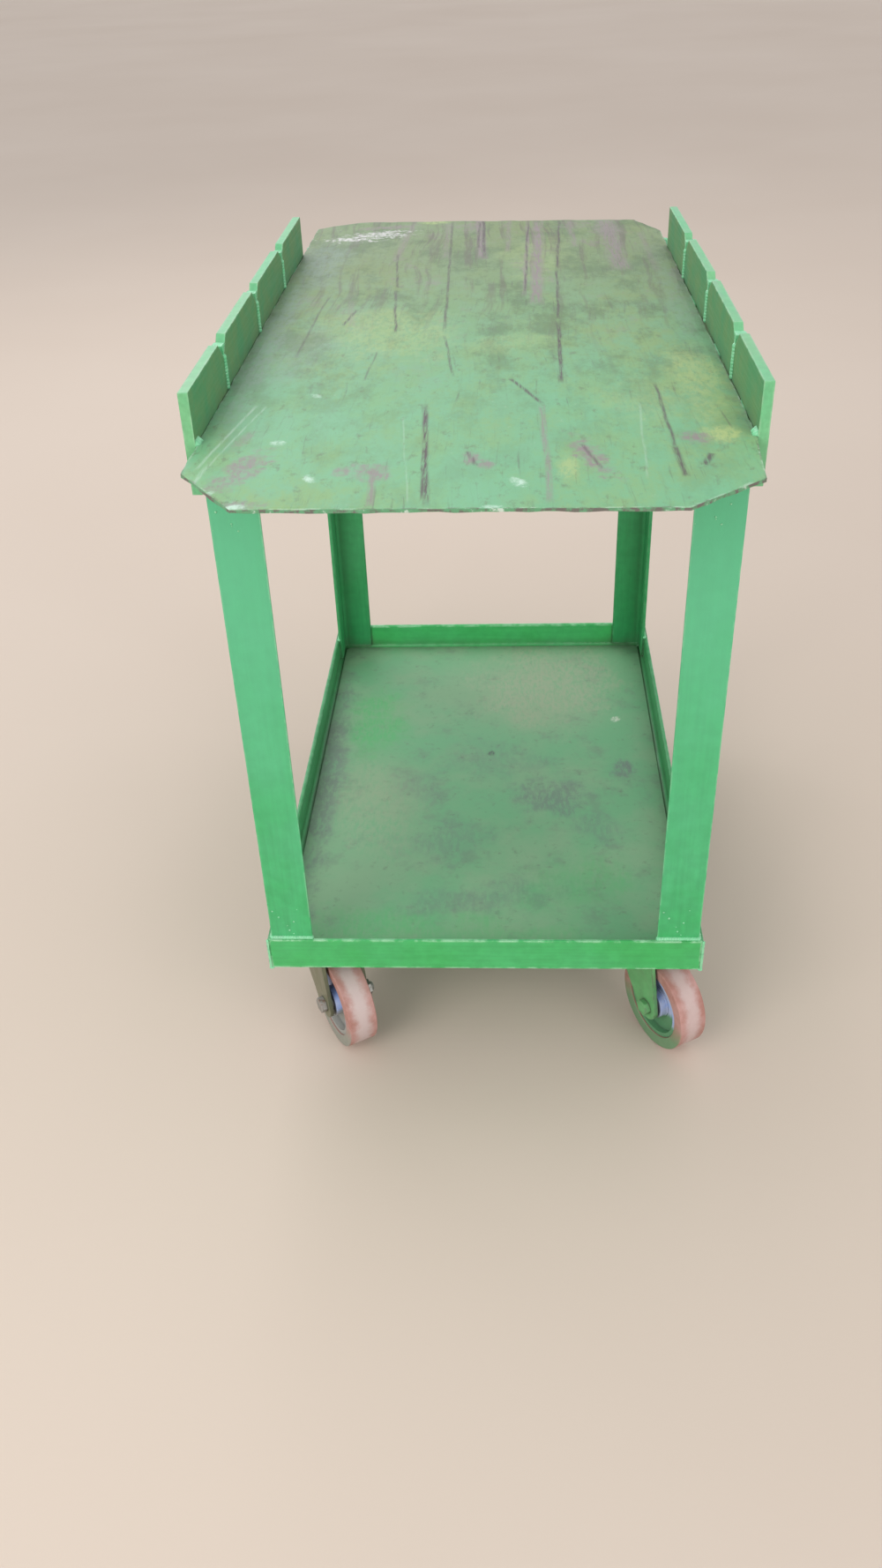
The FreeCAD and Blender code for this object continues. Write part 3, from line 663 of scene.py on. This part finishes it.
# ---- Side bars -------------------------------------------------------------------------------------
# Each side bar is four lengths of flat bar set on edge against the deck's edge and the legs. Their top
# corners were ground off where they meet, and each joint is welded down its inner and outer face. The
# ends and tops are bright with thick enamel, with pale corners that also carry a painted highlight. The
# inner and outer faces are painted darker as shade, mottled with stains, and rubbed dull by what was
# pushed past.
bar_enamel = painted(
    "bar enamel", (0.13, 0.46, 0.21, 1), (0.22, 0.46, 0.22, 1), (260, 7, 260), (0.36, 0.58, 0.36, 1),
    corner_amount=0.8, shade_and_grime_amount=0.45, corner_reach=0.003,
    shaded_side_faces=((0.060, 0.255, 0.10, 1), (0.115, 0.25, 0.09, 1)),
)
bar_nodes = [f"{side}_bar_{n}" for side in ("left", "right") for n in (1, 2, 3, 4)]
for name in bar_nodes:
    finish_node(name, bar_enamel, 0.0008)


def weld_bead(start, end, outward, width=0.008, proud=0.0022, step=0.0032):
    """A run of weld metal: overlapping drops laid from one point to another."""
    start, end, outward = Vector(start), Vector(end), Vector(outward).normalized()
    run = end - start
    drops = max(2, round(run.length / step))
    bpy.ops.object.select_all(action="DESELECT")
    bpy.ops.mesh.primitive_uv_sphere_add(segments=8, ring_count=5, radius=1)
    bead = bpy.context.object
    bead.scale = (step * 1.15, width / 2, proud)
    bpy.ops.object.transform_apply(scale=True)
    rows = bead.modifiers.new("drops", "ARRAY")
    rows.count = drops
    rows.use_relative_offset = False
    rows.use_constant_offset = True
    rows.constant_offset_displace = (run.length / drops, 0, 0)
    bpy.ops.object.modifier_apply(modifier=rows.name)
    bpy.ops.object.mode_set(mode="EDIT")
    bpy.ops.mesh.select_all(action="SELECT")
    bpy.ops.transform.vertex_random(offset=proud * 0.15, seed=drops)
    bpy.ops.object.mode_set(mode="OBJECT")
    ahead = run.normalized()
    across = outward.cross(ahead).normalized()
    turn = Matrix((ahead, across, ahead.cross(across))).transposed().to_4x4()
    bead.data.transform(Matrix.Translation(start + ahead * run.length / drops / 2) @ turn)
    return bead


def join_pieces(name, pieces, material, body):
    """Make several meshes one smooth piece that rides on a body."""
    bpy.ops.object.select_all(action="DESELECT")
    for piece in pieces:
        piece.select_set(True)
    bpy.context.view_layer.objects.active = pieces[0]
    bpy.ops.object.join()
    piece = bpy.context.object
    piece.name = name
    bpy.ops.object.shade_smooth()
    piece.data.materials.clear()
    piece.data.materials.append(material)
    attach(piece, body)
    return piece


# The welds take a lighter, glossier copy of the enamel, a painted highlight on the beads.
lit_weld_enamel = painted(
    "lit weld enamel", (0.16, 0.56, 0.27, 1), (0.26, 0.62, 0.36, 1), (150, 150, 150), (0.5, 0.75, 0.55, 1),
    corner_amount=0.3, shade_and_grime_amount=0.15, gloss=0.08,
)


def select_faces(piece, wanted):
    """Select in edit mode the faces that a test on centre and normal picks."""
    bpy.ops.object.mode_set(mode="OBJECT")
    for face in piece.data.polygons:
        face.select = wanted(face.center, face.normal)
    bpy.ops.object.mode_set(mode="EDIT")
    bpy.ops.mesh.select_mode(type="FACE")


def weld_fill(x_low, x_high, y, bottom_z, height, half_width):
    """Weld metal that fills the foot of a vee between two bars: a lumpy wedge."""
    bpy.ops.object.select_all(action="DESELECT")
    bpy.ops.mesh.primitive_cube_add(size=1)
    wedge = bpy.context.object
    bpy.ops.object.mode_set(mode="EDIT")
    bpy.ops.mesh.select_all(action="DESELECT")
    select_faces(wedge, lambda centre, normal: normal.z < -0.9)
    bpy.ops.transform.resize(value=(1, 0.1, 1))
    bpy.ops.mesh.select_all(action="SELECT")
    bpy.ops.mesh.subdivide(number_cuts=3)
    bpy.ops.object.mode_set(mode="OBJECT")
    wedge.scale = (x_high - x_low, half_width * 2, height)
    wedge.location = ((x_low + x_high) / 2, y, bottom_z + height / 2)
    bpy.ops.object.transform_apply(location=True, rotation=True, scale=True)
    rounded = wedge.modifiers.new("rounded", "BEVEL")
    rounded.width = 0.0014
    rounded.segments = 2
    rounded.angle_limit = math.radians(40)
    bpy.ops.object.modifier_apply(modifier=rounded.name)
    displaced(wedge, "weld lumps", 0.006, 0.0018)
    return wedge


vee_depth = 0.0165
fill_height = 0.0125
for side, out_x in (("left", -1), ("right", 1)):
    beads = []
    for n in (1, 2, 3):
        low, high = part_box(f"{side}_bar_{n}")
        beads.append(weld_fill(
            low.x - 0.0006, high.x + 0.0006, high.y, high.z - vee_depth - 0.001, fill_height, 0.0072
        ))
        inner_x = high.x if out_x < 0 else low.x
        outer_x = low.x if out_x < 0 else high.x
        inner_foot = (inner_x, high.y, high.z - vee_depth)
        outer_foot = (outer_x, high.y, high.z - vee_depth)
        beads += [
            weld_bead((inner_x, high.y, deck_high.z), inner_foot, (-out_x, 0, 0), 0.007, 0.0026),
            weld_bead((outer_x, high.y, low.z + 0.002), outer_foot, (out_x, 0, 0), 0.008, 0.0018),
            weld_bead(inner_foot, outer_foot, (0, 0, 1), 0.008, 0.0024),
        ]
    join_pieces(f"{side}_bar_welds", beads, lit_weld_enamel, "frame")


# ---- Frame welds -----------------------------------------------------------------------------------
# The legs are welded to the tray's rim at their feet, and to the deck, the bars and the cross rails at
# their heads. The deck is stitched to the bars from below. All welds were painted over with the rest.
def spatter(count, low, high, flat_axis, seed):
    """Small drops of weld metal stuck on a flat face between two corners."""
    draw = random.Random(seed)
    drops = []
    for _ in range(count):
        at = [draw.uniform(a, b) for a, b in zip(low, high)]
        size = draw.uniform(0.0006, 0.0017)
        bpy.ops.mesh.primitive_ico_sphere_add(subdivisions=1, radius=size, location=at)
        drop = bpy.context.object
        squat = [1.0, 1.0, 1.0]
        squat[flat_axis] = 0.6
        drop.scale = squat
        bpy.ops.object.transform_apply(location=True, rotation=True, scale=True)
        drops.append(drop)
    return drops


stitch_half = 0.02
bar_end_x = 0.258
beads = []
rim_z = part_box("tray_front_rail")[1].z
for side, out_x in (("left", -1), ("right", 1)):
    bar_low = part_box(f"{side}_bar_1")[0]
    for end, out_y in (("front", -1), ("rear", 1)):
        low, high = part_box(f"{end}_{side}_leg")
        x_out, x_in = (low.x, high.x) if out_x < 0 else (high.x, low.x)
        y_out, y_in = (low.y, high.y) if out_y < 0 else (high.y, low.y)
        rail_x = x_out - out_x * 0.011
        rail_y = y_out - out_y * 0.005
        runs = (
            ((x_out, y_out, rim_z), (x_in, y_out, rim_z), (0, out_y, 1.2), 0.007, 0.0028),
            ((x_out, y_out, rim_z), (x_out, y_in, rim_z), (out_x, 0, 1.2), 0.007, 0.0028),
            ((x_out, y_out, high.z), (x_in, y_out, high.z), (0, out_y, -1.2), 0.007, 0.003),
            ((x_out, y_in, bar_low.z), (x_out, y_out, bar_low.z), (out_x, 0, -1.2), 0.008, 0.003),
            ((rail_x, rail_y, high.z - 0.05), (rail_x, rail_y, high.z), (-out_x, -out_y, 0), 0.009, 0.003),
        )
        beads += [weld_bead(*run) for run in runs]
        beads += spatter(14, (low.x, y_out, high.z - 0.09), (high.x, y_out, high.z - 0.01), 1, 7)
        beads += spatter(8, (low.x, y_out, rim_z + 0.004), (high.x, y_out, rim_z + 0.06), 1, 9)
    for n in (1, 2, 3, 4):
        low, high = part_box(f"{side}_bar_{n}")
        inner_x = high.x if out_x < 0 else low.x
        middle_y = (low.y + high.y) / 2
        beads.append(weld_bead(
            (inner_x, middle_y - stitch_half, deck_low.z), (inner_x, middle_y + stitch_half, deck_low.z),
            (-out_x, 0, -1), 0.008, 0.003,
        ))
    bar_end = out_x * bar_end_x
    beads.append(weld_bead(
        (bar_end, bar_low.y + 0.002, deck_high.z), (bar_end, bar_low.y + 0.014, deck_high.z),
        (-out_x, -0.6, 1), 0.012, 0.004,
    ))
join_pieces("frame_welds", beads, lit_weld_enamel, "frame")

tray_flange = 0.045
beads = []
tray_low, tray_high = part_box("tray_front_rail")
rear_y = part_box("tray_rear_rail")[1].y
for x in (tray_low.x, tray_high.x):
    for y in (tray_low.y, rear_y):
        out_x, out_y = math.copysign(1, x), math.copysign(1, y)
        foot, head = (x, y, tray_low.z + 0.001), (x, y, tray_high.z - 0.001)
        beads.append(weld_bead(foot, head, (out_x, out_y, 0), 0.005, 0.0012))
        inner = (x - out_x * tray_flange, y - out_y * tray_flange, tray_low.z)
        beads.append(weld_bead((x, y, tray_low.z), inner, (0, 0, -1), 0.007, 0.0016))
join_pieces("tray_welds", beads, lit_weld_enamel, "frame")


# ---- Caster plates and forks -----------------------------------------------------------------------
# Each caster bolts to a plate that is welded across a corner of the tray. The forks are pressed steel.
# The brush that painted the cart went over them too: the right ones came out green, the left ones kept
# more of their old grey and olive dirt.
right_fork_enamel = painted(
    "right fork enamel", (0.085, 0.38, 0.12, 1), (0.19, 0.44, 0.19, 1), (60, 60, 25), (0.12, 0.13, 0.09, 1),
    corner_amount=0.9, fading=0.8, shade_and_grime_amount=0.8, corner_reach=0.004,
)
left_fork_enamel = painted(
    "left fork enamel", (0.14, 0.145, 0.08, 1), (0.22, 0.19, 0.13, 1), (60, 60, 25), (0.10, 0.14, 0.08, 1),
    corner_amount=0.9, fading=1.0, shade_and_grime_amount=0.8, corner_reach=0.004,
)
steel, tree, shader = new_material("dull zinc")
place = add(tree, "TexCoord").outputs["Object"]
stains = noise(tree, place, 90.0, 6.0, 0.7)
rust = noise(tree, place, 35.0, 7.0, 0.7)
colour = blend_colours(tree, stains, (0.22, 0.22, 0.20, 1), (0.46, 0.45, 0.42, 1))
colour = blend_colours(tree, remap(tree, rust, 0.52, 0.68, 0.0, 0.8), colour, (0.16, 0.08, 0.04, 1))
tree.links.new(colour, shader.inputs["Base Color"])
tree.links.new(remap(tree, rust, 0.6, 0.45, 0.1, 0.85), shader.inputs["Metallic"])
tree.links.new(remap(tree, stains, 0.3, 0.7, 0.35, 0.65), shader.inputs["Roughness"])
bump = add(tree, "Bump", {"Strength": 0.3, "Distance": 0.0003, "Height": stains})
tree.links.new(bump.outputs[0], shader.inputs["Normal"])
beads = []
for end in ("front", "rear"):
    for side in ("left", "right"):
        corner_name = f"{end}_{side}"
        fork_enamel = right_fork_enamel if side == "right" else left_fork_enamel
        # The mount plates take the cross rails' darker enamel, a painted shade.
        finish_node(f"{corner_name}_mount_plate", shaded_cross_enamel, 0.001)
        finish_node(f"{corner_name}_fork", fork_enamel, 0.0012, 3)
        axle_finish = fork_enamel if side == "right" else steel
        finish_node(f"{corner_name}_caster_bolts", steel, 0.0005, 1)
        for piece in ("axle_bolt", "axle_nut"):
            finish_node(f"{corner_name}_{piece}", axle_finish, 0.0005, 1)
        finish_node(f"{corner_name}_axle_sleeve", steel)
        if end == "front":
            finish_node(f"{corner_name}_caster_plate", steel, 0.0008)
            finish_node(f"{corner_name}_swivel_race", steel)
            finish_node(f"{corner_name}_kingpin", steel)
        low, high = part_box(f"{corner_name}_mount_plate")
        for y, out_y in ((low.y, -1), (high.y, 1)):
            start, stop = (low.x + 0.01, y, high.z), (high.x - 0.01, y, high.z)
            beads.append(weld_bead(start, stop, (0, out_y, -1), 0.008, 0.0025))
join_pieces("mount_plate_welds", beads, lit_weld_enamel, "frame")


# ---- Wheels ----------------------------------------------------------------------------------------
# Cast wheels with a dished web and a turned boss, in a blue-grey paint, and a bonded tread of red-brown
# polyurethane. The tread's middle is rubbed pale and full of floor dust, its shoulders are scuffed, and
# the brush has caught the side that faces the fork.
def turned_blank(radius, width, segments):
    """A disc about Z, at the origin, in edit mode with nothing selected."""
    bpy.ops.object.select_all(action="DESELECT")
    bpy.ops.mesh.primitive_cylinder_add(vertices=segments, radius=radius, depth=width)
    blank = bpy.context.object
    bpy.ops.object.mode_set(mode="EDIT")
    bpy.ops.mesh.select_all(action="DESELECT")
    return blank


def turn_steps(piece, side, steps):
    """Turn a disc's flat side in steps: each comes in by a distance, then goes up or down by another."""
    select_faces(piece, lambda centre, normal: normal.z * side > 0.9)
    for inward, rise in steps:
        bpy.ops.mesh.inset(thickness=inward)
        if rise:
            bpy.ops.mesh.extrude_region_move(TRANSFORM_OT_translate={"value": (0, 0, rise * side)})


def stand_on_axle(piece, centre, axle_turn):
    """Lay a piece made about Z on its axle: along X, turned about the upright, at a centre."""
    upright = Matrix.Rotation(axle_turn, 4, "Z") @ Matrix.Rotation(math.pi / 2, 4, "Y")
    piece.data.transform(Matrix.Translation(centre) @ upright)


wheel_radius = 0.0625
rim_radius = 0.047
wheel_width = 0.038
hub_width = 0.034
boss_radius = 0.020
web_depth = 0.009
bore_play = 0.0004


def wheel_centre(corner_name):
    """The middle of a wheel."""
    low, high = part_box(f"{corner_name}_tyre")
    return (low + high) / 2


def tread_material(name, dust_amount, brush_colour, brush_side):
    """Red-brown tread with a pale rubbed middle; the brush has caught one side of it."""
    material, tree, shader = new_material(name)
    place = add(tree, "TexCoord").outputs["Object"]
    across = add(tree, "Attribute", attribute_name="across the tread").outputs["Fac"]
    edge_noise = noise(tree, place, 70.0, 6.0, 0.7)
    clouds = noise(tree, place, 30.0, 6.0, 0.65)
    tilt = calculate(tree, "MULTIPLY", calculate(tree, "SUBTRACT", edge_noise, 0.5), 0.9)
    from_middle = calculate(tree, "ADD", calculate(tree, "ABSOLUTE", across), tilt)
    faded = remap(tree, clouds, 0.35, 0.65)
    colour = blend_colours(tree, faded, (0.36, 0.165, 0.13, 1), (0.47, 0.26, 0.23, 1))
    dusty = remap(tree, from_middle, 0.85, 0.15, 0.0, dust_amount)
    colour = blend_colours(tree, dusty, colour, (0.57, 0.47, 0.45, 1))
    low_part = add(tree, "SeparateXYZ", {0: place}).outputs[2]
    on_side = remap(tree, calculate(tree, "MULTIPLY", across, brush_side), 0.9, 1.0)
    ragged_height = calculate(tree, "ADD", low_part, calculate(tree, "MULTIPLY", tilt, 0.03))
    caught = calculate(tree, "MULTIPLY", on_side, remap(tree, ragged_height, 0.075, 0.03))
    colour = blend_colours(tree, caught, colour, brush_colour)
    tree.links.new(colour, shader.inputs["Base Color"])
    tree.links.new(remap(tree, edge_noise, 0.3, 0.7, 0.5, 0.75), shader.inputs["Roughness"])
    bump = add(tree, "Bump", {"Strength": 0.35, "Distance": 0.0006, "Height": edge_noise})
    tree.links.new(bump.outputs[0], shader.inputs["Normal"])
    return material


left_tread = tread_material("left tread", 0.85, (0.27, 0.27, 0.22, 1), -1)
right_tread = tread_material("right tread", 0.65, (0.15, 0.27, 0.14, 1), -1)
hub_paint = {}
for side, brush_colour in (("left", (0.30, 0.30, 0.27, 1)), ("right", (0.10, 0.27, 0.13, 1))):
    material, tree, shader = new_material(f"{side} wheel paint")
    place = add(tree, "TexCoord").outputs["Object"]
    clouds = noise(tree, place, 45.0, 6.0, 0.65)
    height = add(tree, "SeparateXYZ", {0: place}).outputs[2]
    faded = remap(tree, clouds, 0.35, 0.6)
    colour = blend_colours(tree, faded, (0.30, 0.42, 0.74, 1), (0.42, 0.48, 0.66, 1))
    low_part = calculate(tree, "ADD", height, calculate(tree, "MULTIPLY", clouds, 0.03))
    colour = blend_colours(tree, remap(tree, low_part, 0.080, 0.066), colour, brush_colour)
    # Painted shade, with some grime, in the dished web and round the boss.
    shade_and_dirt = use_group(tree, shade_and_grime, {"Reach": 0.012, "Amount": 0.8})["Mask"]
    colour = blend_colours(tree, shade_and_dirt, colour, (0.06, 0.06, 0.06, 1))
    tree.links.new(colour, shader.inputs["Base Color"])
    tree.links.new(remap(tree, clouds, 0.3, 0.7, 0.35, 0.6), shader.inputs["Roughness"])
    bump = add(tree, "Bump", {"Strength": 0.3, "Distance": 0.0004, "Height": clouds})
    tree.links.new(bump.outputs[0], shader.inputs["Normal"])
    hub_paint[side] = material

swivel = math.radians(30)
for end in ("front", "rear"):
    for side in ("left", "right"):
        corner_name = f"{end}_{side}"
        centre = wheel_centre(corner_name)
        axle_turn = swivel if end == "front" else 0.0
        body = f"{corner_name}_wheel"

        tyre = turned_blank(wheel_radius, wheel_width, 96)
        tyre.name = f"{corner_name}_tread"
        for flat_side in (1, -1):
            turn_steps(tyre, flat_side, ((wheel_radius - rim_radius - 0.003, 0), (0.003, -0.0015)))
        bpy.ops.mesh.select_all(action="DESELECT")
        select_faces(tyre, lambda c, n: abs(n.z) > 0.9 and Vector((c.x, c.y)).length < 0.02)
        bpy.ops.mesh.delete(type="ONLY_FACE")
        bpy.ops.mesh.select_mode(type="EDGE")
        bpy.ops.mesh.select_non_manifold()
        bpy.ops.mesh.bridge_edge_loops()
        for z in (-0.010, -0.004, 0.004, 0.010):
            bpy.ops.mesh.select_all(action="SELECT")
            bpy.ops.mesh.bisect(plane_co=(0, 0, z), plane_no=(0, 0, 1))
        bpy.ops.mesh.select_all(action="SELECT")
        bpy.ops.mesh.normals_make_consistent(inside=False)
        bpy.ops.object.mode_set(mode="OBJECT")
        shoulders = tyre.modifiers.new("shoulders", "BEVEL")
        shoulders.width = 0.006
        shoulders.segments = 5
        shoulders.angle_limit = math.radians(50)
        bpy.ops.object.modifier_apply(modifier=shoulders.name)
        across = tyre.data.attributes.new("across the tread", "FLOAT", "POINT")
        for n, vertex in enumerate(tyre.data.vertices):
            across.data[n].value = vertex.co.z / (wheel_width / 2)
        stand_on_axle(tyre, centre, axle_turn)
        bpy.ops.object.shade_smooth_by_angle(angle=math.radians(35))
        tyre.data.materials.append(left_tread if side == "left" else right_tread)
        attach(tyre, body)
        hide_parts(f"{corner_name}_tyre")

        sleeve_low, sleeve_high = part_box(f"{corner_name}_axle_sleeve")
        bore_radius = (sleeve_high.z - sleeve_low.z) / 2 + bore_play
        hub = turned_blank(rim_radius, hub_width, 64)
        hub.name = f"{corner_name}_hub"
        for flat_side in (1, -1):
            turn_steps(hub, flat_side, (
                (0.0035, 0), (0.0025, -web_depth), (0.0195, 0.002), (0.0015, web_depth),
                (boss_radius - bore_radius, 0),
            ))
        select_faces(hub, lambda c, n: abs(n.z) > 0.9 and Vector((c.x, c.y)).length < 0.003)
        bpy.ops.mesh.delete(type="ONLY_FACE")
        bpy.ops.mesh.select_mode(type="EDGE")
        bpy.ops.mesh.select_non_manifold()
        bpy.ops.mesh.bridge_edge_loops()
        bpy.ops.mesh.select_all(action="SELECT")
        bpy.ops.mesh.normals_make_consistent(inside=False)
        bpy.ops.object.mode_set(mode="OBJECT")
        soft = hub.modifiers.new("cast corners", "BEVEL")
        soft.width = 0.0009
        soft.segments = 2
        soft.angle_limit = math.radians(40)
        bpy.ops.object.modifier_apply(modifier=soft.name)
        stand_on_axle(hub, centre, axle_turn)
        bpy.ops.object.shade_smooth_by_angle(angle=math.radians(35))
        hub.data.materials.append(hub_paint[side])
        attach(hub, body)
        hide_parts(f"{corner_name}_wheel_hub")
